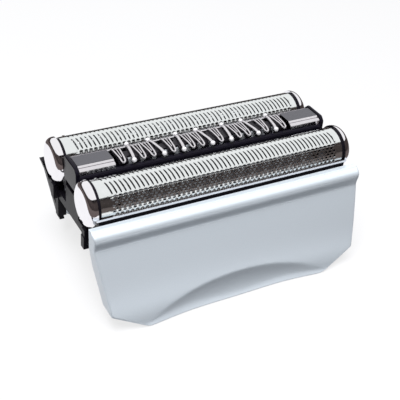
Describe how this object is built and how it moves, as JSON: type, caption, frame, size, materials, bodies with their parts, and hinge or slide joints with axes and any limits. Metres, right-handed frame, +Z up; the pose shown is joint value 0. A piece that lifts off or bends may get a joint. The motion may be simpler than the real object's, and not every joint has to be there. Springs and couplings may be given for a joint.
{
  "type": "shaver foil head",
  "caption": "Drop-in shaver head with floating arched foils and a trimmer between silver apron panels; cutters slide under the foils to shave.",
  "frame": {"origin": "middle of the base on which both apron panels stand, midway between the foils", "axes": "+X along the foils, -Y towards the larger front panel, +Z up towards the foils"},
  "size_m": [0.0456, 0.0324, 0.0208],
  "materials": {
    "silver_lacquer": "satin silver lacquer on moulded plastic",
    "black_abs": "moulded, fine satin",
    "gloss_black": "polished moulding",
    "nickel_foil": "electroformed bright nickel",
    "plated_cap": "bright chrome plating on moulded plastic",
    "comb_steel": "ground and polished",
    "blade_steel": "ground",
    "spring_steel": "rolled strip",
    "grey_acetal": "moulded, matte"
  },
  "bodies": {
    "cassette": {"cassette_frame": "black_abs", "front_panel": "silver_lacquer", "rear_panel": "silver_lacquer", "trimmer_spring_left": "spring_steel", "trimmer_spring_right": "spring_steel", "front_spring_left": "spring_steel", "front_spring_right": "spring_steel", "rear_spring_left": "spring_steel", "rear_spring_right": "spring_steel"},
    "front_foil_unit": {"front_foil": "nickel_foil", "front_foil_frame": "plated_cap", "front_foil_base": "black_abs"},
    "front_cutter": {"front_cutter_carrier": "grey_acetal", "front_cutter_blades": "blade_steel"},
    "rear_foil_unit": {"rear_foil": "nickel_foil", "rear_foil_frame": "plated_cap", "rear_foil_base": "black_abs"},
    "rear_cutter": {"rear_cutter_carrier": "grey_acetal", "rear_cutter_blades": "blade_steel"},
    "trimmer": {"trimmer_body": "gloss_black", "trimmer_comb": "comb_steel"},
    "trimmer_cutter": {"trimmer_blade": "blade_steel", "trimmer_blade_holder": "grey_acetal"}
  },
  "joints": [
    {"name": "front_foil_float", "type": "slide", "parent": "cassette", "child": "front_foil_unit", "axis": [0, 0, -1], "range_m": [0, 0.0016], "stiffness_N_per_m": 300, "springref_m": -0.0015, "deforming": ["front_spring_left", "front_spring_right"]},
    {"name": "rear_foil_float", "type": "slide", "parent": "cassette", "child": "rear_foil_unit", "axis": [0, 0, -1], "range_m": [0, 0.0016], "stiffness_N_per_m": 300, "springref_m": -0.0015, "deforming": ["rear_spring_left", "rear_spring_right"]},
    {"name": "trimmer_float", "type": "slide", "parent": "cassette", "child": "trimmer", "axis": [0, 0, -1], "range_m": [0, 0.001], "stiffness_N_per_m": 300, "springref_m": -0.0015, "deforming": ["trimmer_spring_left", "trimmer_spring_right"]},
    {"name": "front_cutter_stroke", "type": "slide", "parent": "front_foil_unit", "child": "front_cutter", "axis": [1, 0, 0], "range_m": [-0.0009, 0.0009]},
    {"name": "rear_cutter_stroke", "type": "slide", "parent": "rear_foil_unit", "child": "rear_cutter", "axis": [1, 0, 0], "range_m": [-0.0009, 0.0009]},
    {"name": "trimmer_blade_stroke", "type": "slide", "parent": "trimmer", "child": "trimmer_cutter", "axis": [1, 0, 0], "range_m": [-0.0007, 0.0007]}
  ]
}
